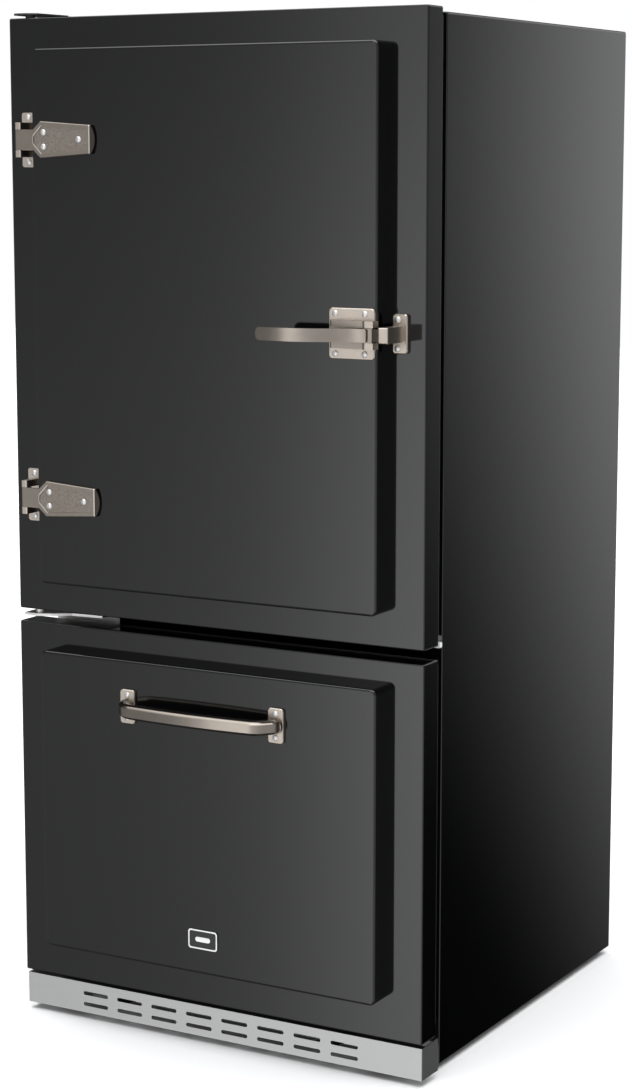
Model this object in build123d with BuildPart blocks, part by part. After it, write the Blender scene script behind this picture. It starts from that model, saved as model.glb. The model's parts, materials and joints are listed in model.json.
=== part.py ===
"""Bottom-freezer refrigerator with icebox-style door hardware.

Millimetres, +Z up. The origin is on the floor, at the centre of the outline. The doors face -Y,
and +X is the right-hand side of a person who stands in front of them.
"""

from build123d import *

import os
from math import radians, sin

# Driving dimensions
door_width = 756.0
slab_thickness = 46.5
panel_depth = 34.0
panel_margin = 65.3
skin = 1.5
overall_depth = 872.0
drawer_bottom, drawer_top = 70.5, 674.5
door_bottom, door_top = 695.3, 1655.4
cabinet_width, cabinet_bottom, cabinet_top = 730.0, 12.0, 1650.0
core_thickness, gasket_thickness = 25.0, 14.3
hinge_heights = (1463.0, 888.0)
latch_height = 1174.8
handle_height, handle_half_span = 560.4, 138.7
badge_height = 191.4

# Planes that many pieces share
half = door_width / 2
side = cabinet_width / 2
cabinet_back = overall_depth / 2
slab_front = -337.0
slab_back = slab_front + slab_thickness
core_back = slab_back + core_thickness
gasket_back = core_back + gasket_thickness
cabinet_front = -250.0
shell_back = cabinet_back - skin
panel_front = slab_front - panel_depth
hinge_x, hinge_y = -350.0, -317.0

# Compartments: the inside of each liner, and the steel frame opening round it
liner = 2.0
cavity_half, cavity_back = 316.0, 370.0
fridge_floor, fridge_ceiling = 742.8, 1601.0
freezer_floor, freezer_ceiling = 119.0, 627.0
step_height, step_front = 240.0, 190.0
frame_half, frame_lip = 334.0, 14.0
gasket_outer, gasket_inner = 354.0, 336.0
machine_front, machine_top = 250.0, 195.0

os.makedirs("parts", exist_ok=True)


def save(builder, name):
    """Label a finished sub-part and write its STEP file."""
    builder.part.label = name
    export_step(builder.part, f"parts/{name}.step")


def span(x, y, z, mode=Mode.ADD):
    """Box between the low and high value given for each axis."""
    with Locations(((x[0] + x[1]) / 2, (y[0] + y[1]) / 2, (z[0] + z[1]) / 2)):
        Box(x[1] - x[0], y[1] - y[0], z[1] - z[0], mode=mode)


def front_pad(x, z, y_back, depth, radius, mode=Mode.ADD):
    """Plate with rounded corners that stands out to the front from the plane y_back."""
    with BuildSketch(Plane.XZ.offset(-y_back)) as outline:
        with Locations(((x[0] + x[1]) / 2, (z[0] + z[1]) / 2)):
            RectangleRounded(x[1] - x[0], z[1] - z[0], radius)
    extrude(outline.sketch, amount=depth, mode=mode)


def rod(start, direction, radius, length, mode=Mode.ADD):
    """Round bar from a start point along a direction."""
    with BuildSketch(Plane(origin=start, z_dir=direction)) as circle:
        Circle(radius)
    extrude(circle.sketch, amount=length, mode=mode)


def ring(x_outer, z_outer, x_inner, z_inner, y):
    """Rectangular frame that lies in the plane of the doors."""
    span((-x_outer, x_outer), y, z_outer)
    span((-x_inner, x_inner), y, z_inner, mode=Mode.SUBTRACT)


def tray(x, y, z, wall):
    """Box that is open at the top."""
    span(x, y, z)
    inside = [(low + wall, high - wall) for low, high in (x, y)]
    span(inside[0], inside[1], (z[0] + wall, z[1] + 1), mode=Mode.SUBTRACT)


def slotted_screw(x, y, z, radius=5.0, rise=2.4):
    """Domed screw head on the plane y, facing the front, with a driver slot."""
    with BuildSketch(Plane.XY.offset(z)) as half_head:
        with BuildLine():
            Polyline((x, y - rise), (x, y), (x + radius, y), (x + radius, y - 0.7))
            ThreePointArc((x + radius, y - 0.7), (x + radius * 0.6, y - rise * 0.82), (x, y - rise))
        make_face()
    revolve(half_head.sketch, axis=Axis((x, y, z), (0, 1, 0)), revolution_arc=360)
    span((x - 0.6, x + 0.6), (y - rise - 1, y - rise + 1), (z - radius, z + radius), mode=Mode.SUBTRACT)


# ---------------------------------------------------------------- cabinet

with BuildPart() as cabinet_shell:
    span((-side, side), (cabinet_front, shell_back), (cabinet_bottom, cabinet_top))
    outer_corners = cabinet_shell.edges().filter_by(Axis.Y).group_by(Axis.Z)[-1]
    fillet(outer_corners, radius=4)
    fillet(cabinet_shell.faces().sort_by(Axis.Y)[0].edges().filter_by(Axis.Z), radius=2)
    span(
        (-side + skin, side - skin),
        (cabinet_front + skin, cabinet_back),
        (cabinet_bottom - 1, cabinet_top - skin),
        mode=Mode.SUBTRACT,
    )
    for floor, ceiling in ((fridge_floor, fridge_ceiling), (freezer_floor, freezer_ceiling)):
        span(
            (-frame_half, frame_half),
            (cabinet_front - 1, cabinet_front + skin + 1),
            (floor - frame_lip, ceiling + frame_lip),
            mode=Mode.SUBTRACT,
        )
save(cabinet_shell, "cabinet_shell")

with BuildPart() as cabinet_back_panel:
    span((-side + 1, side - 1), (shell_back, cabinet_back), (machine_top - 3, cabinet_top - 2))
    for x in (-240.0, 0.0, 240.0):
        span((x - 4, x + 4), (cabinet_back - 0.6, cabinet_back), (260, 1600), mode=Mode.SUBTRACT)
save(cabinet_back_panel, "cabinet_back_panel")

foam_bottom = 42.0
foam_front = cabinet_front + skin
with BuildPart() as insulation:
    span((-side + skin, side - skin), (foam_front, shell_back), (foam_bottom, cabinet_top - skin - 0.1))
    fridge_hole = (fridge_floor - liner, fridge_ceiling + liner)
    freezer_hole = (freezer_floor - liner, freezer_ceiling + liner)
    wide = (-cavity_half - liner, cavity_half + liner)
    span(wide, (foam_front, cavity_back + liner), fridge_hole, mode=Mode.SUBTRACT)
    span(wide, (foam_front, step_front + liner), freezer_hole, mode=Mode.SUBTRACT)
    upper_freezer = (step_height - liner, freezer_hole[1])
    span(wide, (foam_front, cavity_back + liner), upper_freezer, mode=Mode.SUBTRACT)
    machine = (machine_front, shell_back)
    span((-side, side), machine, (foam_bottom, machine_top), mode=Mode.SUBTRACT)
save(insulation, "insulation")


def liner_flange(floor, ceiling):
    """Flat lip of a liner, flush with the steel frame at the front of the cabinet."""
    lip = (floor - frame_lip, ceiling + frame_lip)
    span((-frame_half, frame_half), (cabinet_front, foam_front), lip)


with BuildPart() as fridge_liner:
    liner_flange(fridge_floor, fridge_ceiling)
    span(wide, (foam_front, cavity_back + liner), fridge_hole)
    hollow = (-cavity_half, cavity_half)
    span(hollow, (cabinet_front, cavity_back), (fridge_floor, fridge_ceiling), mode=Mode.SUBTRACT)
save(fridge_liner, "fridge_liner")

with BuildPart() as freezer_liner:
    liner_flange(freezer_floor, freezer_ceiling)
    span(wide, (foam_front, step_front + liner), freezer_hole)
    span(wide, (foam_front, cavity_back + liner), upper_freezer)
    span(hollow, (cabinet_front, step_front), (freezer_floor, freezer_ceiling), mode=Mode.SUBTRACT)
    span(hollow, (cabinet_front, cavity_back), (step_height, freezer_ceiling), mode=Mode.SUBTRACT)
save(freezer_liner, "freezer_liner")

# ---------------------------------------------------------------- base, feet and rollers

rail_inner = 335.0
rail_z = (24.0, foam_bottom)
roller_y, roller_radius, axle_radius = 400.0, 16.0, 4.0
with BuildPart() as base_frame:
    span((-side + skin, side - skin), (foam_front, -180), rail_z)
    for sign in (-1, 1):
        rail = sorted((sign * rail_inner, sign * (side - skin)))
        span(rail, (-180, shell_back), rail_z)
        outer_cheek = sorted((sign * rail_inner, sign * (rail_inner + 3)))
        span(outer_cheek, (roller_y - 15, roller_y + 15), (8, rail_z[0]))
        inner_cheek = sorted((sign * 300.0, sign * 303.0))
        span(inner_cheek, (roller_y - 15, 425), (8, rail_z[0] + 2))
        rod((sign * 302.0, roller_y, roller_radius), (sign, 0, 0), axle_radius, rail_inner - 301.0)
    span((-rail_inner, rail_inner), (425, shell_back), rail_z)
    span((-300, 300), (255, 425), (rail_z[0], rail_z[0] + 2))
    span((-rail_inner, rail_inner), (machine_front, 255), rail_z)
save(base_frame, "base_frame")

with BuildPart() as front_feet:
    for x in (-300.0, 300.0):
        rod((x, -215, 0), (0, 0, 1), 22, 8)
        rod((x, -215, 8), (0, 0, 1), 6, rail_z[0] - 8)
save(front_feet, "front_feet")

for name, sign in (("rear_roller_left", -1), ("rear_roller_right", 1)):
    with BuildPart() as rear_roller:
        rod((sign * 307.0, roller_y, roller_radius), (sign, 0, 0), roller_radius, 24)
        rear_roller_rims = rear_roller.edges().filter_by(GeomType.CIRCLE)
        fillet(rear_roller_rims, radius=2)
        bore_start = (sign * 306.0, roller_y, roller_radius)
        rod(bore_start, (sign, 0, 0), axle_radius + 0.05, 26, mode=Mode.SUBTRACT)
    save(rear_roller, name)

kick_front = slab_front + 3.8
kick_top = 64.3
kick_return = slab_front + 58.5
slot_pitch, slot_length, slot_height = 68.16, 49.5, 6.5
with BuildPart() as kick_plate:
    kick_half = half - 1
    span((-kick_half, kick_half), (kick_front, kick_return), (cabinet_bottom, kick_top))
    fillet(kick_plate.faces().sort_by(Axis.Y)[0].edges().filter_by(Axis.Z), radius=2)
    inside_half = kick_half - skin
    inside = (kick_front + skin, kick_return + 1)
    span((-inside_half, inside_half), inside, (cabinet_bottom - 1, kick_top - skin), mode=Mode.SUBTRACT)
    gap = (kick_front + 14, kick_return + 1)
    span((-inside_half, inside_half), gap, (kick_top - 3, kick_top + 1), mode=Mode.SUBTRACT)
    for row in (27.0, 45.9):
        with BuildSketch(Plane.XZ.offset(-kick_front)) as slots:
            with Locations((0, row)):
                with GridLocations(slot_pitch, 1, 8, 1):
                    SlotOverall(slot_length, slot_height)
        extrude(slots.sketch, amount=-6, mode=Mode.SUBTRACT)
    for x in (-200.0, 200.0):
        span((x - 20, x + 20), (kick_front + skin, cabinet_front), (35, 37))
        span((x - 20, x + 20), (cabinet_front - 2, cabinet_front), (14, 35))
save(kick_plate, "kick_plate")

# ---------------------------------------------------------------- door hinges of the cabinet

pin_radius = 5.0
plate_z = (1660.2, 1663.2)
with BuildPart() as top_hinge_bracket:
    with BuildSketch(Plane.XY.offset(plate_z[0])) as plate_outline:
        with BuildLine():
            Polyline(
                (-373, -246),
                (-373, -330),
                (-366, -337),
                (-346, -337),
                (-330, -326),
                (-326, -246),
                close=True,
            )
        make_face()
    extrude(amount=plate_z[1] - plate_z[0])
    span((-373, -326), (-249, -246), (cabinet_top, plate_z[1]))
    span((-373, -326), (-246, -192), (cabinet_top, cabinet_top + 3))
    rod((hinge_x, hinge_y, plate_z[0]), (0, 0, -1), 8, plate_z[0] - door_top - 0.3)
    rod((hinge_x, hinge_y, plate_z[0]), (0, 0, -1), pin_radius, 24)
save(top_hinge_bracket, "top_hinge_bracket")

with BuildPart() as top_hinge_cover:
    cover_z = (cabinet_top, 1662.0)
    span((-376, -323), (-244.5, -185), cover_z)
    fillet(top_hinge_cover.edges().filter_by(Axis.Z), radius=4)
    fillet(top_hinge_cover.faces().sort_by(Axis.Z)[-1].edges(), radius=1.5)
    hollow_y, hollow_z = (-250, -187), (cover_z[0] - 1, cover_z[1] - 2)
    span((-374, -325), hollow_y, hollow_z, mode=Mode.SUBTRACT)
save(top_hinge_cover, "top_hinge_cover")

with BuildPart() as centre_hinge_bracket:
    plate_bottom, plate_top = 684.0, 688.0
    with BuildSketch(Plane.XY.offset(plate_bottom)) as arm:
        with BuildLine():
            Polyline(
                (-370, cabinet_front),
                (-370, -335),
                (-344, -336),
                (-322, -325),
                (-294, -306),
                (-237, -301),
                (-237, cabinet_front),
                close=True,
            )
        make_face()
    extrude(amount=plate_top - plate_bottom)
    span((-363, -237), (cabinet_front - 1.1, cabinet_front), (664, 706))
    rod((hinge_x, hinge_y, plate_top), (0, 0, 1), 8, door_bottom - 0.3 - plate_top)
    rod((hinge_x, hinge_y, plate_top), (0, 0, 1), pin_radius, 28)
save(centre_hinge_bracket, "centre_hinge_bracket")

with BuildPart() as hinge_hole_plug:
    front_pad((355.5, 364.5), (685.5, 694.5), cabinet_front, 8, 1.5)
save(hinge_hole_plug, "hinge_hole_plug")

# ---------------------------------------------------------------- inside the fridge compartment

ladder_x = (-150.0, 150.0)
shelf_levels = (1130.0, 1360.0)
shelf_front, shelf_back = -130.0, 350.0
with BuildPart() as shelf_ladders:
    for x in ladder_x:
        span((x - 9, x + 9), (cavity_back - 6, cavity_back), (1000, 1560))
        with BuildSketch(Plane.XZ.offset(-(cavity_back - 6))) as notches:
            with Locations((x, 1280)):
                with GridLocations(1, 28, 1, 19):
                    Rectangle(3.4, 14)
        extrude(notches.sketch, amount=-4, mode=Mode.SUBTRACT)
save(shelf_ladders, "shelf_ladders")

with BuildPart() as shelf_brackets:
    for level in shelf_levels:
        for x in (ladder_x[0] + 12, ladder_x[1] - 12):
            with BuildSketch(Plane.YZ.offset(x - 1.5)) as arm_side:
                with BuildLine():
                    Polyline(
                        (cavity_back - 6, level - 44),
                        (cavity_back - 6, level - 6),
                        (shelf_front + 40, level - 6),
                        (shelf_front + 40, level - 14),
                        close=True,
                    )
                make_face()
            extrude(arm_side.sketch, amount=3)
save(shelf_brackets, "shelf_brackets")

with BuildPart() as shelf_glass:
    for level in shelf_levels:
        span((-303, 303), (shelf_front + 6, shelf_back - 6), (level - 4, level))
save(shelf_glass, "shelf_glass")

with BuildPart() as shelf_trims:
    for level in shelf_levels:
        span((-310, 310), (shelf_front, shelf_back), (level - 6, level + 3))
        hole = (-295, 295)
        span(hole, (shelf_front + 14, shelf_back - 14), (level - 7, level + 4), mode=Mode.SUBTRACT)
        seat = (level - 4, level)
        span((-303, 303), (shelf_front + 6, shelf_back - 6), seat, mode=Mode.SUBTRACT)
save(shelf_trims, "shelf_trims")

crisper_top = 946.0
with BuildPart() as crisper_cover:
    span((-cavity_half, cavity_half), (-128, 360), (crisper_top + 4, crisper_top + 14))
    span((-8, 8), (-128, 360), (fridge_floor, crisper_top + 4))
    span((-300, 300), (-110, 340), (crisper_top + 8, crisper_top + 15), mode=Mode.SUBTRACT)
save(crisper_cover, "crisper_cover")

with BuildPart() as crispers:
    for x in ((-312.0, -12.0), (12.0, 312.0)):
        tray(x, (-122, 340), (fridge_floor + 2, crisper_top), 3)
        grip = ((x[0] + x[1]) / 2 - 60, (x[0] + x[1]) / 2 + 60)
        span(grip, (-132, -122), (crisper_top - 26, crisper_top - 4))
        span(grip, (-129.5, -122), (crisper_top - 27, crisper_top - 8), mode=Mode.SUBTRACT)
save(crispers, "crispers")

control_z = (1571.0, fridge_ceiling)
knob_x, knob_z = 95.0, 1586.0
with BuildPart() as control_housing:
    span((-130, 130), (-60, 100), control_z)
    fillet(control_housing.edges().filter_by(Axis.Z), radius=8)
    rod((knob_x, -61, knob_z), (0, 1, 0), 3.05, 13, mode=Mode.SUBTRACT)
save(control_housing, "control_housing")

with BuildPart() as temperature_knob:
    rod((knob_x, -61, knob_z), (0, -1, 0), 13, 15)
    fillet(temperature_knob.faces().sort_by(Axis.Y)[0].edges(), radius=1.5)
    rod((knob_x, -61, knob_z), (0, 1, 0), 3, 11)
    span((knob_x - 1, knob_x + 1), (-77, -75.2), (knob_z + 3, knob_z + 13), mode=Mode.SUBTRACT)
save(temperature_knob, "temperature_knob")

# ---------------------------------------------------------------- cooling system

cover_y = (320.0, 323.0)
evaporator_fan_z = 550.0
with BuildPart() as evaporator_cover:
    span((-cavity_half, cavity_half), cover_y, (step_height, freezer_ceiling))
    with BuildSketch(Plane.XZ.offset(-cover_y[0])) as fan_grille:
        with Locations((0, evaporator_fan_z)):
            with GridLocations(1, 13, 1, 8):
                SlotOverall(90, 6)
        with Locations((0, step_height + 30)):
            with GridLocations(110, 12, 5, 2):
                SlotOverall(90, 5)
    extrude(fan_grille.sketch, amount=-5, mode=Mode.SUBTRACT)
save(evaporator_cover, "evaporator_cover")

with BuildPart() as evaporator_coil:
    coil_levels = [272.0 + 34 * i for i in range(6)]
    for level in coil_levels:
        rod((-250, 347, level), (1, 0, 0), 4, 500)
    for i, (low, high) in enumerate(zip(coil_levels, coil_levels[1:])):
        x = 246 if i % 2 else -250
        span((x, x + 4), (343, 351), (low, high))
    for i in range(31):
        x = -240 + 16 * i
        span((x - 0.4, x + 0.4), (334, 360), (262, 452))
save(evaporator_coil, "evaporator_coil")


def fan(x, y, z, radius, blades, thickness, bore):
    """Axial fan about an axis along Y, with its front face at y."""
    rod((x, y, z), (0, 1, 0), radius * 0.3, thickness)
    blade_plane = Plane(origin=(x, y + thickness * 0.3, z), z_dir=(0, 1, 0))
    with BuildSketch(blade_plane) as blade_set:
        with PolarLocations(radius * 0.62, blades):
            Ellipse(radius * 0.38, radius * 0.22)
    extrude(blade_set.sketch, amount=thickness * 0.35)
    rod((x, y - 1, z), (0, 1, 0), bore, thickness + 2, mode=Mode.SUBTRACT)


shaft_radius = 2.5
with BuildPart() as evaporator_fan:
    fan(0, 328, evaporator_fan_z, 45, 5, 10, shaft_radius + 0.05)
save(evaporator_fan, "evaporator_fan")

with BuildPart() as evaporator_fan_motor:
    rod((0, 342, evaporator_fan_z), (0, 1, 0), 18, cavity_back - 342)
    rod((0, 327, evaporator_fan_z), (0, 1, 0), shaft_radius, 16)
save(evaporator_fan_motor, "evaporator_fan_motor")

tray_top = rail_z[0] + 2
with BuildPart() as compressor:
    rod((-170, 345, 40), (0, 0, 1), 72, 128)
    fillet(compressor.edges().filter_by(GeomType.CIRCLE), radius=26)
    span((-250, -90), (280, 410), (tray_top + 10, tray_top + 16))
    for x, y in ((-236, 294), (-104, 294), (-236, 396), (-104, 396)):
        rod((x, y, tray_top), (0, 0, 1), 9, 12)
    rod((-110, 345, 110), (1, 0, 0), 5, 40)
    span((-260, -235), (318, 372), (80, 130))
save(compressor, "compressor")

condenser_x = (60.0, 240.0)
with BuildPart() as condenser:
    for level in [50.0 + 24 * i for i in range(6)]:
        rod((condenser_x[0] - 8, 310, level), (1, 0, 0), 3, condenser_x[1] - condenser_x[0] + 16)
    for i in range(23):
        x = condenser_x[0] + 2 + 8 * i
        span((x - 0.4, x + 0.4), (290, 330), (40, 180))
    for x in (condenser_x[0] - 8, condenser_x[1] + 4):
        span((x, x + 4), (288, 332), (tray_top, 184))
save(condenser, "condenser")

condenser_fan_x, condenser_fan_z = 150.0, 112.0
with BuildPart() as condenser_fan:
    fan(condenser_fan_x, 342, condenser_fan_z, 62, 6, 12, shaft_radius + 0.05)
save(condenser_fan, "condenser_fan")

with BuildPart() as condenser_fan_motor:
    rod((condenser_fan_x, 358, condenser_fan_z), (0, 1, 0), 22, 30)
    rod((condenser_fan_x, 341, condenser_fan_z), (0, 1, 0), shaft_radius, 18)
    span((condenser_fan_x - 12, condenser_fan_x + 12), (388, 391), (tray_top, condenser_fan_z + 15))
save(condenser_fan_motor, "condenser_fan_motor")

inlet_x, inlet_z = (-334.0, -300.0), (96.0, 122.0)
with BuildPart() as rear_cover:
    span((-side + 1, side - 1), (shell_back, cabinet_back), (46, machine_top - 4))
    with BuildSketch(Plane.XZ.offset(-shell_back)) as vents:
        with Locations((40, 118)):
            with GridLocations(64, 16, 8, 6):
                SlotOverall(48, 6)
    extrude(vents.sketch, amount=-3, mode=Mode.SUBTRACT)
    span(inlet_x, (shell_back - 1, cabinet_back + 1), inlet_z, mode=Mode.SUBTRACT)
save(rear_cover, "rear_cover")

with BuildPart() as power_inlet:
    span(inlet_x, (405, cabinet_back), inlet_z)
    span((-329, -305), (418, cabinet_back + 1), (101, 117), mode=Mode.SUBTRACT)
    for x, z in ((-323, 106), (-317, 112), (-311, 106)):
        span((x - 1, x + 1), (418, 432), (z - 2.5, z + 2.5))
save(power_inlet, "power_inlet")

# ---------------------------------------------------------------- slabs, raised panels, seals


def slab_skin(builder, z):
    """Painted steel pan, open at the back, with rounded front edges and a return flange."""
    span((-half, half), (slab_front, slab_back), z)
    fillet(builder.edges().filter_by(Axis.Y), radius=3)
    fillet(builder.faces().sort_by(Axis.Y)[0].edges(), radius=2.5)
    inner = (z[0] + skin, z[1] - skin)
    span((-half + skin, half - skin), (slab_front + skin, slab_back - skin), inner, mode=Mode.SUBTRACT)
    mouth = (z[0] + 20, z[1] - 20)
    span((-half + 20, half - 20), (slab_back - 2, slab_back + 1), mouth, mode=Mode.SUBTRACT)


def raised_panel(builder, z):
    """Hollow panel that stands out of the slab, with a rounded front edge."""
    x = (-half + panel_margin, half - panel_margin)
    front_pad(x, z, slab_front, panel_depth, 10)
    fillet(builder.faces().sort_by(Axis.Y)[0].edges(), radius=4.5)
    inner_x, inner_z = (x[0] + skin, x[1] - skin), (z[0] + skin, z[1] - skin)
    front_pad(inner_x, inner_z, slab_front, panel_depth - skin, 8.5, mode=Mode.SUBTRACT)


def door_core_pan(z):
    """Inner pan behind a slab, which carries the seal and the inner liner."""
    span((-half + 12, half - 12), (slab_back, core_back), (z[0] + 12, z[1] - 12))
    hollow_z = (z[0] + 15, z[1] - 15)
    span((-half + 15, half - 15), (slab_back + 3, core_back - 3), hollow_z, mode=Mode.SUBTRACT)
    mouth_z = (z[0] + 46, z[1] - 46)
    span((-half + 46, half - 46), (core_back - 4, core_back + 1), mouth_z, mode=Mode.SUBTRACT)


def seal(z_outer):
    """Magnetic seal: a hollow-section frame with a narrower bellows at its middle."""
    z_inner = (z_outer[0] + 18, z_outer[1] - 18)
    ring(gasket_outer, z_outer, gasket_inner, z_inner, (core_back, gasket_back))
    groove = (core_back + 4, core_back + 9)
    for x in ((gasket_outer - 4, gasket_outer + 1), (-gasket_outer - 1, -gasket_outer + 4)):
        span(x, groove, (z_outer[0] - 1, z_outer[1] + 1), mode=Mode.SUBTRACT)
    for z in ((z_outer[0] - 1, z_outer[0] + 4), (z_outer[1] - 4, z_outer[1] + 1)):
        span((-gasket_outer - 1, gasket_outer + 1), groove, z, mode=Mode.SUBTRACT)


door_z, drawer_z = (door_bottom, door_top), (drawer_bottom, drawer_top)
door_panel_z, drawer_panel_z = (747.4, 1605.6), (132.9, 635.2)
door_seal_z, drawer_seal_z = (708.8, 1635.0), (85.0, 661.0)
bushing_depth = 30.0

with BuildPart() as door_slab:
    slab_skin(door_slab, door_z)
    for z, direction in ((door_top - skin, -1), (door_bottom + skin, 1)):
        rod((hinge_x, hinge_y, z), (0, 0, direction), 9, bushing_depth)
    for z, direction in ((door_top + 1, -1), (door_bottom - 1, 1)):
        start = (hinge_x, hinge_y, z)
        rod(start, (0, 0, direction), pin_radius + 0.05, bushing_depth, mode=Mode.SUBTRACT)
save(door_slab, "door_slab")

with BuildPart() as drawer_slab:
    slab_skin(drawer_slab, drawer_z)
save(drawer_slab, "drawer_slab")

with BuildPart() as door_panel:
    raised_panel(door_panel, door_panel_z)
save(door_panel, "door_panel")

with BuildPart() as drawer_panel:
    raised_panel(drawer_panel, drawer_panel_z)
save(drawer_panel, "drawer_panel")

with BuildPart() as door_core:
    door_core_pan(door_z)
save(door_core, "door_core")

with BuildPart() as drawer_core:
    door_core_pan(drawer_z)
save(drawer_core, "drawer_core")

with BuildPart() as door_gasket:
    seal(door_seal_z)
save(door_gasket, "door_gasket")

with BuildPart() as drawer_gasket:
    seal(drawer_seal_z)
save(drawer_gasket, "drawer_gasket")

# ---------------------------------------------------------------- inner side of the door

liner_back = core_back + 2.5
dyke_back = liner_back + 45
bin_back = -155.0
dyke_half = 290.0
with BuildPart() as door_liner:
    span((-335, 335), (core_back, liner_back), (door_seal_z[0] + 19, door_seal_z[1] - 19))
    dyke_z = (765.0, 1590.0)
    span((-dyke_half, dyke_half), (liner_back, dyke_back), dyke_z)
    fillet(door_liner.faces().sort_by(Axis.Y)[-1].edges(), radius=8)
    well_z = (dyke_z[0] + 22, dyke_z[1] - 22)
    well = (-dyke_half + 20, dyke_half - 20)
    span(well, (liner_back, dyke_back + 1), well_z, mode=Mode.SUBTRACT)
save(door_liner, "door_liner")

bin_floors = (790.0, 1010.0, 1230.0)
bin_height = 110.0
with BuildPart() as door_bins:
    for floor in bin_floors:
        tray((-268, 268), (liner_back + 0.5, bin_back), (floor, floor + bin_height), 3)
save(door_bins, "door_bins")

dairy_x, dairy_z = (-268.0, -4.0), (1440.0, 1540.0)
dairy_back = -162.0
lid_axis_y, lid_axis_z = -158.0, 1534.0
with BuildPart() as dairy_box:
    span(dairy_x, (liner_back + 0.5, dairy_back), dairy_z)
    inside_x = (dairy_x[0] + 3, dairy_x[1] - 3)
    inside_z = (dairy_z[0] + 3, dairy_z[1] - 3)
    span(inside_x, (liner_back + 3.5, dairy_back + 1), inside_z, mode=Mode.SUBTRACT)
    for x in ((dairy_x[0], dairy_x[0] + 3), (dairy_x[1] - 3, dairy_x[1])):
        span(x, (dairy_back, lid_axis_y + 5), (lid_axis_z - 6, dairy_z[1]))
    rod((dairy_x[0] - 1, lid_axis_y, lid_axis_z), (1, 0, 0), 2.05, 280, mode=Mode.SUBTRACT)
save(dairy_box, "dairy_box")

with BuildPart() as dairy_lid:
    lid_x = (dairy_x[0] + 3.5, dairy_x[1] - 3.5)
    span(lid_x, (-160.5, -157.5), (dairy_z[0] + 2, lid_axis_z))
    rod((lid_x[0], lid_axis_y, lid_axis_z), (1, 0, 0), 3.2, lid_x[1] - lid_x[0])
    rod((dairy_x[0] + 0.5, lid_axis_y, lid_axis_z), (1, 0, 0), 2, dairy_x[1] - dairy_x[0] - 1)
save(dairy_lid, "dairy_lid")

# ---------------------------------------------------------------- icebox hinges on the door

strap_front = panel_front - 6.5
pivot_radius = 3.0
knuckle_x, knuckle_y = (-342.0, -331.0), panel_front + 1
pin_x = sum(knuckle_x) / 2
ear_x, ear_screw_x = (-353.6, -326.0), -341.0
neck_front = panel_front - 5
neck_half, knuckle_half, ear_half = 16.0, 27.4, 43.3


def pin_bore(x, y, z, length):
    """Upright bore for a pivot pin, centred on the height z."""
    rod((x, y, z - length / 2), (0, 0, 1), pivot_radius, length, mode=Mode.SUBTRACT)


with BuildPart() as hinge_bases:
    for centre in hinge_heights:
        for low, high in ((neck_half + 0.4, knuckle_half), (-knuckle_half, -neck_half - 0.4)):
            span(knuckle_x, (neck_front, slab_front - 3), (centre + low, centre + high))
    fillet(hinge_bases.edges().filter_by(Axis.Z).group_by(Axis.Y)[0], radius=2.2)
    for centre in hinge_heights:
        front_pad(ear_x, (centre - ear_half, centre + ear_half), slab_front, 3.2, 4)
        pin_bore(pin_x, knuckle_y, centre, 60)
save(hinge_bases, "hinge_bases")


def strap_outline(centre, plane_y):
    """Spade-shaped face of a hinge strap, drawn in the plane plane_y."""
    with BuildSketch(Plane.XZ.offset(-plane_y)) as face:
        with BuildLine():
            Polyline(
                (-195.0, centre - 22.3),
                (-291.4, centre - 29.0),
                (-306.5, centre - 16.0),
                (-306.5, centre + 16.0),
                (-291.4, centre + 29.0),
                (-195.0, centre + 22.3),
            )
            ThreePointArc((-195.0, centre + 22.3), (-188.5, centre), (-195.0, centre - 22.3))
        make_face()
    return face.sketch


def strap_recess(centre, plane_y):
    """Sunk field in the face of a hinge strap."""
    with BuildSketch(Plane.XZ.offset(-plane_y)) as field:
        with BuildLine():
            Polyline(
                (-202.0, centre + 16.5),
                (-289.0, centre + 21.4),
                (-305.0, centre + 5.2),
                (-305.0, centre - 5.2),
                (-289.0, centre - 21.4),
                (-202.0, centre - 16.5),
                close=True,
            )
        make_face()
    return field.sketch


with BuildPart() as hinge_straps:
    for centre in hinge_heights:
        extrude(strap_outline(centre, panel_front), amount=panel_front - strap_front)
    chamfer(hinge_straps.faces().filter_by(Plane.XZ).group_by(Axis.Y)[0].edges(), length=1)
    for centre in hinge_heights:
        extrude(strap_recess(centre, strap_front), amount=-1.4, mode=Mode.SUBTRACT)
        with BuildSketch(Plane.XY.offset(centre - 30)) as end_slope:
            with BuildLine():
                Polyline(
                    (-197, strap_front),
                    (-186, strap_front + 4),
                    (-186, strap_front - 1),
                    (-197, strap_front - 1),
                    close=True,
                )
            make_face()
        extrude(end_slope.sketch, amount=60, mode=Mode.SUBTRACT)
        neck_z = (centre - neck_half, centre + neck_half)
        span((knuckle_x[0], -306), (neck_front, panel_front), neck_z)
        span(knuckle_x, (neck_front, knuckle_y + 6.5), neck_z)
        pin_bore(pin_x, knuckle_y, centre, 40)
    left_ends = hinge_straps.edges().filter_by(Axis.Z).group_by(Axis.X)[0]
    fillet(left_ends.group_by(Axis.Y)[0], radius=2.5)
save(hinge_straps, "hinge_straps")

# ---------------------------------------------------------------- latch on the door

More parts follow.
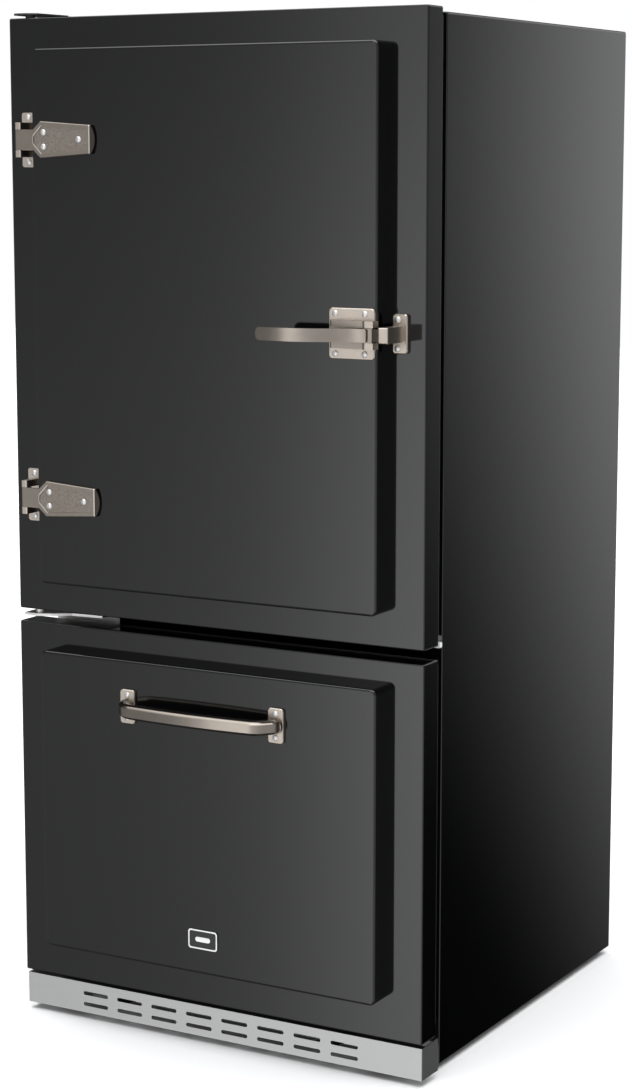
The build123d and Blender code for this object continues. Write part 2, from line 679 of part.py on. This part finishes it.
pivot_x, pivot_y = 313.0, -389.0
latch_x = (233.0, 311.0)
plate_front = panel_front - 4
lever_half, knuckle_top = 10.0, 10.8
housing_half, slot_half = 21.0, 11.2
tongue_y, tongue_half = (-389.0, -384.5), 9.5
with BuildPart() as latch_body:
    latch_z = (latch_height - 38.3, latch_height + 38.3)
    front_pad(latch_x, latch_z, panel_front, 4, 6)
    chamfer(latch_body.faces().sort_by(Axis.Y)[0].edges(), length=1.2)
    with BuildSketch(Plane.XY.offset(latch_height - housing_half)) as cheeks:
        with BuildLine():
            Polyline(
                (240, plate_front + 0.1),
                (240, -384),
                (244, -387.5),
                (300, -393),
                (306, -397),
                (320, -397),
                (320, -380),
                (311, -378),
                (311, plate_front + 0.1),
                close=True,
            )
        make_face()
    extrude(cheeks.sketch, amount=2 * housing_half)
    slot = (latch_height - slot_half, latch_height + slot_half)
    span((239, 321), (-398, plate_front), slot, mode=Mode.SUBTRACT)
    pin_bore(pivot_x, pivot_y, latch_height, 50)
save(latch_body, "latch_body")

with BuildPart() as pivot_pins:
    for centre in hinge_heights:
        rod((pin_x, knuckle_y, centre - 27.4), (0, 0, 1), pivot_radius, 54.8)
    rod((pivot_x, pivot_y, latch_height - 20.5), (0, 0, 1), pivot_radius, 41)
save(pivot_pins, "pivot_pins")

with BuildPart() as latch_lever:
    lever_base = Plane.XY.offset(latch_height - lever_half)
    with BuildSketch(lever_base) as grip_outline:
        with BuildLine():
            Spline(
                (311.5, -400.3),
                (284, -403),
                (262, -411),
                (236, -424),
                (205, -431.8),
                (168, -432.4),
                (139, -429),
                tangents=((-1, 0), (-1, 0.14)),
            )
        trace(line_width=6.5)
    extrude(amount=2 * lever_half)
    grip_ends = latch_lever.edges().filter_by(Axis.Z, reverse=True).group_by(Axis.X)
    fillet(grip_ends[0], radius=8)
    fillet(grip_ends[-1], radius=3)
    block = (latch_height - knuckle_top, latch_height + knuckle_top)
    span((pivot_x - 6.7, pivot_x + 6.7), (-400, -381), block)
    span((pivot_x, 336), tongue_y, (latch_height - tongue_half, latch_height + tongue_half))
    start = (pivot_x, pivot_y, latch_height - 12)
    rod(start, (0, 0, 1), pivot_radius + 0.05, 24, mode=Mode.SUBTRACT)
save(latch_lever, "latch_lever")

with BuildPart() as latch_keeper:
    keeper_z = (latch_height - 29.9, latch_height + 29.9)
    front_pad((324.5, 349.3), keeper_z, slab_front, 7, 5)
    chamfer(latch_keeper.faces().sort_by(Axis.Y)[0].edges(), length=1.6)
    boss_z = (latch_height - 14.5, latch_height + 14.5)
    front_pad((326, 346.5), boss_z, slab_front - 7, 1.6, 2)
    nose_front = slab_front - 56
    span((326.9, 342.6), (nose_front, slab_front - 5), (latch_height - 11.8, latch_height + 11.8))
    chamfer(latch_keeper.faces().sort_by(Axis.Y)[0].edges(), length=1.2)
    pocket_z = (latch_height - tongue_half - 0.7, latch_height + tongue_half + 0.7)
    span((320, 339), (nose_front + 2.5, -369), pocket_z, mode=Mode.SUBTRACT)
save(latch_keeper, "latch_keeper")

with BuildPart() as door_screws:
    for centre in hinge_heights:
        for x, rise in ((-286.0, 11.3), (-286.0, -11.3), (-218.3, 0.0)):
            slotted_screw(x, strap_front + 1.3, centre + rise)
        for rise in (35.3, -35.3):
            slotted_screw(ear_screw_x, slab_front - 3.2, centre + rise)
    for x in (244.2, 294.6):
        for rise in (-29.9, 29.9):
            slotted_screw(x, plate_front, latch_height + rise)
    for rise in (-21.6, 21.6):
        slotted_screw(333.6, slab_front - 7, latch_height + rise)
save(door_screws, "door_screws")

# ---------------------------------------------------------------- freezer drawer

with BuildPart() as drawer_liner:
    span((-335, 335), (core_back, liner_back), (drawer_seal_z[0] + 19, drawer_seal_z[1] - 19))
    span((-280, 280), (liner_back, liner_back + 20), (130, 610))
    fillet(drawer_liner.faces().sort_by(Axis.Y)[-1].edges(), radius=6)
    span((-260, 260), (liner_back, liner_back + 21), (150, 590), mode=Mode.SUBTRACT)
save(drawer_liner, "drawer_liner")

basket_half, basket_y, basket_z = 285.0, (-240.0, 150.0), (130.0, 420.0)
with BuildPart() as drawer_basket:
    tray((-basket_half, basket_half), basket_y, basket_z, 4)
save(drawer_basket, "drawer_basket")

rail_height = (334.0, 360.0)
with BuildPart() as drawer_rails_fixed:
    for sign in (-1, 1):
        web = sorted((sign * 312.0, sign * cavity_half))
        span(web, (-240, 180), rail_height)
        for z in ((rail_height[0], rail_height[0] + 2), (rail_height[1] - 2, rail_height[1])):
            lip = sorted((sign * 304.0, sign * 312.0))
            span(lip, (-240, 180), z)
save(drawer_rails_fixed, "drawer_rails_fixed")

with BuildPart() as drawer_rails_moving:
    for sign in (-1, 1):
        bar = sorted((sign * 299.0, sign * 311.0))
        span(bar, (liner_back, 165), (rail_height[0] + 3, rail_height[1] - 3))
        hanger = sorted((sign * basket_half, sign * 299.0))
        span(hanger, (liner_back, 120), (rail_height[0] + 10, rail_height[0] + 14))
save(drawer_rails_moving, "drawer_rails_moving")

with BuildPart() as freezer_tray:
    tray((-278, 278), (-228, 30), (421, 510), 3)
    for sign in (-1, 1):
        runner = sorted((sign * 278.0, sign * 284.0))
        span(runner, (-228, 30), (420.4, 424))
save(freezer_tray, "freezer_tray")

bar_radius, bend_radius, bar_tilt = 12.2, 22.0, 5.6
elbow_radius, elbow_turn, leg_length = 14.0, 40.0, 14.0
bar_facet = 10.2
bar_foot = panel_front - 5
with BuildPart() as handle_plates:
    for x in (-handle_half_span, handle_half_span):
        plate_span = (handle_height - 28, handle_height + 28)
        front_pad((x - 13.8, x + 13.8), plate_span, panel_front, 5, 5)
    chamfer(handle_plates.faces().filter_by(Plane.XZ).group_by(Axis.Y)[0].edges(), length=1)
save(handle_plates, "handle_plates")

with BuildPart() as handle_bar:
    with BuildLine(Plane.XY.offset(handle_height)) as bar_path:
        foot = Line((-handle_half_span, bar_foot), (-handle_half_span, bar_foot - 2))
        elbow = JernArc(foot @ 1, foot % 1, elbow_radius, elbow_turn)
        leg = Line(elbow @ 1, elbow @ 1 + (elbow % 1) * leg_length)
        bend = JernArc(leg @ 1, leg % 1, bend_radius, 90 - bar_tilt - elbow_turn)
        bow_radius = -(bend @ 1).X / sin(radians(bar_tilt))
        bow = JernArc(bend @ 1, bend % 1, bow_radius, 2 * bar_tilt)
        far_bend = JernArc(bow @ 1, bow % 1, bend_radius, 90 - bar_tilt - elbow_turn)
        far_leg = Line(far_bend @ 1, far_bend @ 1 + (far_bend % 1) * leg_length)
        far_elbow = JernArc(far_leg @ 1, far_leg % 1, elbow_radius, elbow_turn)
        Line(far_elbow @ 1, (handle_half_span, bar_foot))
    section_plane = Plane(origin=bar_path.line @ 0, x_dir=(1, 0, 0), z_dir=(0, -1, 0))
    with BuildSketch(section_plane) as bar_section:
        Circle(bar_radius)
        with Locations(((bar_radius - bar_facet) / 2, 0)):
            Rectangle(bar_radius + bar_facet, 2 * bar_radius + 2, mode=Mode.INTERSECT)
    sweep(path=bar_path.line)
    for x in (-handle_half_span, handle_half_span):
        rod((x, bar_foot, handle_height), (0, -1, 0), bar_radius + 1.1, 5)
save(handle_bar, "handle_bar")

with BuildPart() as handle_screws:
    for x in (-handle_half_span, handle_half_span):
        for rise in (-18.8, 18.8):
            slotted_screw(x, bar_foot, handle_height + rise)
save(handle_screws, "handle_screws")

with BuildPart() as badge:
    badge_x, badge_z = (-27.2, 27.2), (badge_height - 16, badge_height + 16)
    front_pad(badge_x, badge_z, panel_front, 2.4, 5)
    inset_x, inset_z = (badge_x[0] + 2.3, badge_x[1] - 2.3), (badge_z[0] + 2.3, badge_z[1] - 2.3)
    front_pad(inset_x, inset_z, panel_front - 1.4, 2, 3.5, mode=Mode.SUBTRACT)
    front_pad((-14, 14), (badge_height - 4, badge_height + 4), panel_front - 1.4, 0.8, 3.9)
save(badge, "badge")
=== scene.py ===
"""Looks for the bottom-freezer refrigerator: materials, studio and camera. Metres."""

import json
import math

import bmesh
import bpy
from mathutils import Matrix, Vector


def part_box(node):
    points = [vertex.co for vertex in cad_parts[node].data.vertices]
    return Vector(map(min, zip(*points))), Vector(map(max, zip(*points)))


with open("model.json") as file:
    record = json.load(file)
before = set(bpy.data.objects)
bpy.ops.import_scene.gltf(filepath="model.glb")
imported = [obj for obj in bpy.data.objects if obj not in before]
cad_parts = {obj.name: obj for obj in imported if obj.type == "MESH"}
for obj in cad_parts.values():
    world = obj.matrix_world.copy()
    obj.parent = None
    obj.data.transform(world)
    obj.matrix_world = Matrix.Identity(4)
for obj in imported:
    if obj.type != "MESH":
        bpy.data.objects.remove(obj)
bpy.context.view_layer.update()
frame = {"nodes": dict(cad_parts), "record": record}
nodes = frame["nodes"]
scene = bpy.context.scene


# ------------------------------------------------------------ node helpers


def feed(tree, socket, item):
    """Link a node's output to the socket, or set a plain number on it."""
    if isinstance(item, bpy.types.NodeSocket):
        tree.links.new(item, socket)
    else:
        socket.default_value = item


def math_node(tree, operation, *operands):
    node = tree.nodes.new("ShaderNodeMath")
    node.operation = operation
    for socket, item in zip(node.inputs, operands):
        feed(tree, socket, item)
    return node.outputs["Value"]


def map_range(tree, item, low, high, to_low=0.0, to_high=1.0, interpolation="LINEAR"):
    node = tree.nodes.new("ShaderNodeMapRange")
    node.interpolation_type = interpolation
    keys = ("Value", "From Min", "From Max", "To Min", "To Max")
    for key, number in zip(keys, (item, low, high, to_low, to_high)):
        feed(tree, node.inputs[key], number)
    return node.outputs["Result"]


class Shader:
    """A Principled material and short ways to feed it."""

    def __init__(self, name):
        self.material = bpy.data.materials.new(name)
        self.material.use_nodes = True
        self.tree = self.material.node_tree
        self.bsdf = self.tree.nodes["Principled BSDF"]
        self.coords = self.tree.nodes.new("ShaderNodeTexCoord").outputs["Object"]

    def set(self, **values):
        for key, value in values.items():
            self.bsdf.inputs[key.replace("_", " ")].default_value = value

    def link(self, socket, output):
        self.tree.links.new(output, self.bsdf.inputs[socket])

    def axis(self, letter):
        separate = self.tree.nodes.new("ShaderNodeSeparateXYZ")
        self.tree.links.new(self.coords, separate.inputs["Vector"])
        return separate.outputs[letter]

    def noise(self, scale, detail=4.0, stretch=(1, 1, 1)):
        mapping = self.tree.nodes.new("ShaderNodeMapping")
        mapping.inputs["Scale"].default_value = stretch
        self.tree.links.new(self.coords, mapping.inputs["Vector"])
        texture = self.tree.nodes.new("ShaderNodeTexNoise")
        texture.inputs["Scale"].default_value = scale
        texture.inputs["Detail"].default_value = detail
        self.tree.links.new(mapping.outputs["Vector"], texture.inputs["Vector"])
        return texture.outputs["Fac"]

    def voronoi(self, scale):
        texture = self.tree.nodes.new("ShaderNodeTexVoronoi")
        texture.inputs["Scale"].default_value = scale
        self.tree.links.new(self.coords, texture.inputs["Vector"])
        return texture.outputs["Distance"]

    def ramp(self, value, low, high, to_low, to_high):
        return map_range(self.tree, value, low, high, to_low, to_high)

    def mix(self, factor, first, second):
        node = self.tree.nodes.new("ShaderNodeMix")
        node.data_type = "RGBA"
        self.tree.links.new(factor, node.inputs["Factor"])
        for socket, value in (("A", first), ("B", second)):
            target = [s for s in node.inputs if s.name == socket and s.type == "RGBA"][0]
            plain = not isinstance(value, bpy.types.NodeSocket)
            feed(self.tree, target, (*value, 1.0) if plain else value)
        return [s for s in node.outputs if s.type == "RGBA"][0]

    def math(self, operation, *operands):
        return math_node(self.tree, operation, *operands)

    def bump(self, height, strength, distance, below=None):
        node = self.tree.nodes.new("ShaderNodeBump")
        node.inputs["Strength"].default_value = strength
        node.inputs["Distance"].default_value = distance
        self.tree.links.new(height, node.inputs["Height"])
        if below is not None:
            self.tree.links.new(below, node.inputs["Normal"])
        return node.outputs["Normal"]


# ------------------------------------------------------------ materials


def enamel():
    """Gloss black enamel over a fine orange peel."""
    s = Shader("black_enamel")
    cloud = s.noise(9.0, 3.0)
    s.link("Base Color", s.mix(cloud, (0.0010, 0.0011, 0.0013), (0.0017, 0.0018, 0.0021)))
    s.link("Roughness", s.ramp(s.noise(38.0, 5.0), 0.3, 0.7, 0.20, 0.24))
    s.link("Normal", s.bump(s.noise(520.0, 2.0), 0.05, 0.00012))
    s.set(IOR=1.5, Specular_IOR_Level=0.0, Coat_Weight=1.0, Coat_Roughness=0.08, Coat_IOR=1.5)
    return s.material


def nickel(name="satin_nickel", polish=0.0):
    """Blasted warm nickel; polish gives the darker, glossier skin of the gripped pieces."""
    s = Shader(name)
    grain = s.noise(1900.0, 3.0)
    cloud = s.noise(60.0, 4.0)
    shade = 1.0 - 0.52 * polish
    low, high = (0.40, 0.352, 0.306), (0.50, 0.444, 0.390)
    tone = s.mix(cloud, tuple(c * shade for c in low), tuple(c * shade for c in high))
    s.link("Base Color", tone)
    rough = 0.36 - 0.20 * polish
    s.link("Roughness", s.ramp(grain, 0.25, 0.75, rough - 0.06, rough + 0.06))
    fine = s.bump(grain, 0.22 - 0.12 * polish, 0.00009)
    s.link("Normal", s.bump(s.noise(420.0, 2.0, (1, 1, 0.25)), 0.08, 0.00012, fine))
    s.set(Metallic=1.0)
    return s.material


def depth_mask(s, node, low, high):
    """0 in front of a depth behind the node's foremost face and 1 behind it."""
    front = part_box(node)[0].y
    return s.ramp(s.axis("Y"), front + low, front + high, 0.0, 1.0)


# Strap hinges: each pair is where a soft edge starts and ends.
STRAP_HEIGHTS = (0.888, 1.463)  # Z of the two centre lines
STRAP_FIELD_DEPTH = (0.0007, 0.0011)  # behind the rim
STRAP_NECK_X = (-0.3065, -0.3060)  # the field starts to the right of it
STRAP_TIP_X = (-0.1968, -0.1960)  # end wall to the right of it is painted dark as shade
STRAP_END_LINE_X = (-0.1985, -0.1979)  # painted highlight line from here to the tip
BEVEL_X = -0.305  # painted highlight beside the field's pointed end, where a bevel would catch the light
BEVEL_START, BEVEL_END = (-0.0028, -0.0022), (-0.0003, 0.0001)  # from BEVEL_X
BEVEL_FLAT = 0.0052  # half height of its upright part; beyond it slants at 45 degrees
BEVEL_HALF_HEIGHT = (0.0222, 0.0228)


def nickel_strap():
    """The same nickel with a coarse sanded field inside the raised rim, painted highlights along the
    bevel and the end line, and painted shade on the end wall.
    """
    s = Shader("satin_nickel_strap")
    x, z = s.axis("X"), s.axis("Z")
    from_lines = [s.math("ABSOLUTE", s.math("SUBTRACT", z, height)) for height in STRAP_HEIGHTS]
    from_centre = s.math("MINIMUM", *from_lines)
    beyond_neck = s.ramp(x, *STRAP_NECK_X, 0.0, 1.0)
    tip_painted_shade = s.ramp(x, *STRAP_TIP_X, 0.0, 1.0)
    before_tip = s.math("SUBTRACT", 1.0, tip_painted_shade)
    sunk = s.math("MULTIPLY", depth_mask(s, "hinge_straps", *STRAP_FIELD_DEPTH), beyond_neck)
    field = s.math("MULTIPLY", sunk, before_tip)
    # painted highlight: a bright band where the raised bevel would catch the light
    slant = s.math("MAXIMUM", s.math("SUBTRACT", from_centre, BEVEL_FLAT), 0.0)
    across = s.math("SUBTRACT", s.math("ADD", x, -BEVEL_X), slant)
    started, unfinished = s.ramp(across, *BEVEL_START, 0.0, 1.0), s.ramp(across, *BEVEL_END, 1.0, 0.0)
    within = s.ramp(from_centre, *BEVEL_HALF_HEIGHT, 1.0, 0.0)
    bevel_highlight = s.math("MULTIPLY", s.math("MULTIPLY", started, unfinished), within)
    # painted highlight: a bright line along the edge before the tip
    end_line_highlight = s.math("MULTIPLY", s.ramp(x, *STRAP_END_LINE_X, 0.0, 1.0), before_tip)
    painted_highlight = s.math("MAXIMUM", bevel_highlight, end_line_highlight)
    grain = s.noise(1700.0, 3.0, (0.45, 1, 1))
    speckle = s.ramp(grain, 0.38, 0.62, 0.0, 1.0)
    dark = s.mix(speckle, (0.14, 0.121, 0.103), (0.33, 0.293, 0.256))
    smooth = s.mix(s.noise(60.0, 4.0), (0.21, 0.183, 0.158), (0.26, 0.229, 0.20))
    # the light colour mixed in here is the painted highlight
    body = s.mix(painted_highlight, s.mix(field, smooth, dark), (0.62, 0.58, 0.53))
    # painted shade: the end wall right of STRAP_TIP_X gets a near-black colour
    s.link("Base Color", s.mix(tip_painted_shade, body, (0.045, 0.038, 0.033)))
    s.link("Roughness", s.ramp(field, 0.0, 1.0, 0.30, 0.44))
    height = s.math("MULTIPLY", grain, s.ramp(field, 0.0, 1.0, 0.2, 1.0))
    s.link("Normal", s.bump(height, 0.6, 0.00035))
    s.set(Metallic=1.0)
    return s.material


def badge_look():
    """Bright rim and bar over a dark sunk field."""
    s = Shader("badge_nickel")
    field = depth_mask(s, "badge", 0.0005, 0.0008)
    grain = s.noise(1500.0, 3.0)
    dark = s.mix(grain, (0.03, 0.03, 0.031), (0.06, 0.06, 0.062))
    s.link("Base Color", s.mix(field, (0.82, 0.82, 0.81), dark))
    s.link("Roughness", s.ramp(grain, 0.3, 0.7, 0.30, 0.42))
    s.link("Normal", s.bump(grain, 0.15, 0.00008))
    s.set(Metallic=0.9)
    return s.material


def bright_steel():
    """Polished screws and pins with faint turning marks."""
    s = Shader("bright_steel")
    s.link("Base Color", s.mix(s.noise(140.0, 3.0), (0.70, 0.69, 0.68), (0.80, 0.79, 0.78)))
    s.link("Roughness", s.ramp(s.noise(900.0, 3.0), 0.3, 0.7, 0.44, 0.54))
    s.link("Normal", s.bump(s.noise(1400.0, 2.0), 0.06, 0.00005))
    s.set(Metallic=1.0)
    return s.material


def stainless():
    """Stainless sheet brushed along its length."""
    s = Shader("stainless")
    brushing = s.noise(1300.0, 3.0, (0.012, 0.6, 1.0))
    s.link("Base Color", s.mix(brushing, (0.36, 0.36, 0.357), (0.45, 0.45, 0.447)))
    s.link("Roughness", s.ramp(brushing, 0.3, 0.7, 0.30, 0.42))
    s.link("Normal", s.bump(brushing, 0.12, 0.00008))
    s.set(Metallic=1.0, Anisotropic=0.5)
    return s.material


def galvanised():
    """Zinc-coated sheet with a soft spangle."""
    s = Shader("galvanised")
    spangle = s.voronoi(85.0)
    tone = s.ramp(spangle, 0.1, 0.8, 0, 1)
    s.link("Base Color", s.mix(tone, (0.36, 0.37, 0.38), (0.50, 0.51, 0.52)))
    s.link("Roughness", s.ramp(spangle, 0.1, 0.8, 0.34, 0.52))
    s.link("Normal", s.bump(s.noise(300.0, 4.0), 0.08, 0.0001))
    s.set(Metallic=0.9)
    return s.material


def black_paint():
    """Thin satin paint on sheet steel."""
    s = Shader("black_steel")
    s.link("Base Color", s.mix(s.noise(25.0, 5.0), (0.008, 0.008, 0.008), (0.016, 0.016, 0.016)))
    s.link("Roughness", s.ramp(s.noise(90.0, 5.0), 0.3, 0.7, 0.40, 0.51))
    s.link("Normal", s.bump(s.noise(700.0, 3.0), 0.15, 0.0001))
    return s.material


def moulded(name, first, second, roughness, grain, strength):
    """Moulded plastic with a fine spark-eroded grain."""
    s = Shader(name)
    s.link("Base Color", s.mix(s.noise(14.0, 4.0), first, second))
    s.link("Roughness", s.ramp(s.noise(120.0, 4.0), 0.3, 0.7, roughness - 0.04, roughness + 0.05))
    s.link("Normal", s.bump(s.noise(grain, 2.0), strength, 0.00008))
    return s.material


def foam():
    """Expanded foam: creamy, with closed cells and a few larger voids."""
    s = Shader("foam")
    cells = s.voronoi(420.0)
    large = s.voronoi(60.0)
    tone = s.ramp(cells, 0.0, 0.6, 0, 1)
    s.link("Base Color", s.mix(tone, (0.62, 0.53, 0.30), (0.84, 0.77, 0.52)))
    s.set(Roughness=0.9)
    height = s.math("ADD", cells, s.math("MULTIPLY", large, 0.6))
    s.link("Normal", s.bump(height, 0.5, 0.0008))
    return s.material


def clear(name, first, second, roughness, transmission, ior):
    """Clear material with a faint tint and slight waviness."""
    s = Shader(name)
    s.link("Base Color", s.mix(s.noise(6.0, 3.0), first, second))
    s.link("Roughness", s.ramp(s.noise(50.0, 4.0), 0.3, 0.7, roughness, roughness + 0.04))
    s.link("Normal", s.bump(s.noise(30.0, 2.0), 0.03, 0.0004))
    s.set(IOR=ior, Transmission_Weight=transmission)
    return s.material


def rubber(name, first, second):
    """Soft seal with a matte skin and bloom."""
    s = Shader(name)
    s.link("Base Color", s.mix(s.noise(80.0, 5.0), first, second))
    s.link("Roughness", s.ramp(s.noise(200.0, 4.0), 0.3, 0.7, 0.55, 0.75))
    s.link("Normal", s.bump(s.noise(1100.0, 3.0), 0.2, 0.0001))
    return s.material


def aluminium():
    """Rolled aluminium tube and fin stock."""
    s = Shader("bare_aluminium")
    streak = s.noise(500.0, 3.0, (0.1, 1, 1))
    s.link("Base Color", s.mix(streak, (0.62, 0.63, 0.64), (0.78, 0.79, 0.80)))
    s.link("Roughness", s.ramp(streak, 0.3, 0.7, 0.25, 0.4))
    s.link("Normal", s.bump(streak, 0.1, 0.0001))
    s.set(Metallic=1.0)
    return s.material


looks = {
    "black_enamel": enamel(),
    "satin_nickel": nickel(),
    "bright_steel": bright_steel(),
    "stainless": stainless(),
    "galvanised": galvanised(),
    "black_steel": black_paint(),
    "foam": foam(),
    "white_plastic": moulded(
        "white_plastic", (0.74, 0.75, 0.75), (0.79, 0.80, 0.80), 0.28, grain=900.0, strength=0.1
    ),
    "black_plastic": moulded(
        "black_plastic", (0.012, 0.012, 0.012), (0.022, 0.022, 0.022), 0.5, grain=1200.0, strength=0.3
    ),
    "grey_plastic": moulded(
        "grey_plastic", (0.22, 0.225, 0.23), (0.28, 0.285, 0.29), 0.42, grain=1000.0, strength=0.2
    ),
    "clear_plastic": clear(
        "clear_plastic", (0.86, 0.91, 0.94), (0.92, 0.95, 0.97), 0.04, transmission=0.9, ior=1.49
    ),
    "clear_glass": clear(
        "clear_glass", (0.84, 0.95, 0.90), (0.90, 0.97, 0.94), 0.0, transmission=1.0, ior=1.5
    ),
    "black_rubber": rubber("black_rubber", (0.008, 0.008, 0.008), (0.018, 0.018, 0.018)),
    "bare_aluminium": aluminium(),
}
special = {
    "hinge_straps": nickel_strap(),
    "badge": badge_look(),
    "latch_lever": nickel("satin_nickel_lever", 1.0),
    "handle_bar": nickel("satin_nickel_bar", 1.0),
}

slot_of = {entry["node"]: entry["material_slot"] for entry in frame["record"]["subparts"]}
for name, node in nodes.items():
    look = special.get(name, looks[slot_of[name]])
    node.data.materials.clear()
    node.data.materials.append(look)


# ------------------------------------------------------------ studio

# Brightness by azimuth in degrees: 0 is in front of the doors and 90 is +X.
AROUND = [
    (-180.0, 0.04),
    (-120.0, 0.08),
    (-80.0, 0.25),
    (-50.0, 0.30),
    (-37.0, 0.33),
    (-34.5, 0.38),
    (-32.5, 0.46),
    (-31.0, 0.58),
    (-29.5, 0.84),
    (-28.5, 1.06),
    (-27.0, 1.30),
    (-20.0, 1.40),
    (0.0, 0.85),
    (45.0, 0.55),
    (95.0, 0.40),
    (130.0, 0.0),
    (151.0, 0.04),
    (153.2, 0.22),
    (154.5, 0.38),
    (155.7, 0.56),
    (157.3, 0.88),
    (166.0, 0.90),
    (180.0, 0.45),
]
# Brightness by elevation in degrees, on every side but the back right.
UPWARDS = [
    (-90.0, 0.2),
    (-45.0, 0.45),
    (-22.0, 0.88),
    (-12.0, 1.0),
    (-6.0, 0.93),
    (-1.0, 0.79),
    (3.0, 0.64),
    (12.0, 0.6),
    (90.0, 0.6),
]
BACK_RIGHT = (100.0, 140.0)  # azimuths over which the back-right light takes over
BACK_RIGHT_TOP = 0.70
FADE_SLOPE, FADE_START = -1.9, 275.0  # elevation where its fade starts, by azimuth
FADE_END = 1.0
STUDIO_STRENGTH = 2.5
OVERHEAD = (38.0, 62.0)  # elevations over which the overhead light comes in
OVERHEAD_STRENGTH = 4.0


def world_light():
    """A white world whose studio light is seen by reflections and diffuse light, not the camera."""
    world = bpy.data.worlds.new("studio")
    scene.world = world
    world.use_nodes = True
    tree = world.node_tree
    tree.nodes.clear()

    def value(operation, *operands):
        return math_node(tree, operation, *operands)

    def smooth(item, low, high, to_low=0.0, to_high=1.0):
        return map_range(tree, item, low, high, to_low, to_high, "SMOOTHSTEP")

    def curve(item, stops):
        """Piecewise-linear curve through (position, brightness) stops."""
        low, high = stops[0][0], stops[-1][0]
        ramp = tree.nodes.new("ShaderNodeValToRGB")
        tree.links.new(map_range(tree, item, low, high), ramp.inputs["Fac"])
        top = max(level for _, level in stops)
        elements = ramp.color_ramp.elements
        while len(elements) < len(stops):
            elements.new(0.5)
        for element, (position, level) in zip(elements, stops):
            element.position = (position - low) / (high - low)
            element.color = (level / top, level / top, level / top, 1.0)
        separate = tree.nodes.new("ShaderNodeSeparateColor")
        tree.links.new(ramp.outputs["Color"], separate.inputs["Color"])
        return value("MULTIPLY", separate.outputs["Red"], top)

    coords = tree.nodes.new("ShaderNodeTexCoord")
    split = tree.nodes.new("ShaderNodeSeparateXYZ")
    tree.links.new(coords.outputs["Generated"], split.inputs["Vector"])
    x, y, z = (split.outputs[axis] for axis in "XYZ")
    azimuth = value("DEGREES", value("ARCTAN2", x, value("MULTIPLY", y, -1.0)))
    elevation = value("DEGREES", value("ARCSINE", z))

    at_back = smooth(azimuth, *BACK_RIGHT)
    fade = value("MULTIPLY_ADD", azimuth, FADE_SLOPE, FADE_START)
    back = smooth(elevation, fade, FADE_END, 0.0, BACK_RIGHT_TOP)
    elsewhere = value("MULTIPLY", curve(elevation, UPWARDS), value("SUBTRACT", 1.0, at_back))
    level = value("ADD", elsewhere, value("MULTIPLY", back, at_back))
    shaped = value("MULTIPLY", curve(azimuth, AROUND), level)
    overhead = smooth(elevation, *OVERHEAD, 0.0, OVERHEAD_STRENGTH)
    total = value("ADD", value("MULTIPLY", shaped, STUDIO_STRENGTH), overhead)

    lit = tree.nodes.new("ShaderNodeBackground")
    lit.inputs["Color"].default_value = (0.786, 0.792, 0.80, 1.0)
    tree.links.new(total, lit.inputs["Strength"])
    seen = tree.nodes.new("ShaderNodeBackground")
    seen.inputs["Color"].default_value = (1.0, 1.0, 1.0, 1.0)
    path = tree.nodes.new("ShaderNodeLightPath")
    mix = tree.nodes.new("ShaderNodeMixShader")
    tree.links.new(path.outputs["Is Camera Ray"], mix.inputs["Fac"])
    tree.links.new(lit.outputs["Background"], mix.inputs[1])
    tree.links.new(seen.outputs["Background"], mix.inputs[2])
    output = tree.nodes.new("ShaderNodeOutputWorld")
    tree.links.new(mix.outputs["Shader"], output.inputs["Surface"])


def floor():
    """Pale seamless floor, hidden from reflections."""
    mesh = bpy.data.meshes.new("floor")
    grid = bmesh.new()
    bmesh.ops.create_grid(grid, x_segments=4, y_segments=4, size=14.0)
    grid.to_mesh(mesh)
    grid.free()
    plane = bpy.data.objects.new("floor", mesh)
    scene.collection.objects.link(plane)
    s = Shader("pale_floor")
    s.link("Base Color", s.mix(s.noise(0.7, 3.0), (0.86, 0.86, 0.86), (0.90, 0.90, 0.90)))
    s.set(Roughness=0.9)
    mesh.materials.append(s.material)
    plane.visible_glossy = False


def camera():
    """To the right of the front, above the drawer, looking slightly down."""
    data = bpy.data.cameras.new("camera")
    data.sensor_fit = "VERTICAL"
    data.sensor_width = 36.0
    data.sensor_height = 36.0
    data.lens = 81.56
    data.clip_end = 60.0
    eye = bpy.data.objects.new("camera", data)
    scene.collection.objects.link(eye)
    turn, tilt = math.radians(29.72), math.radians(8.88)
    level = math.cos(tilt)
    ahead = Vector((-math.sin(turn) * level, math.cos(turn) * level, -math.sin(tilt)))
    eye.location = (2.0537, -3.6029, 1.4328)
    eye.rotation_euler = ahead.to_track_quat("-Z", "Y").to_euler()
    scene.camera = eye


world_light()
scene.view_settings.view_transform = "Standard"
scene.view_settings.look = "None"
floor()
camera()
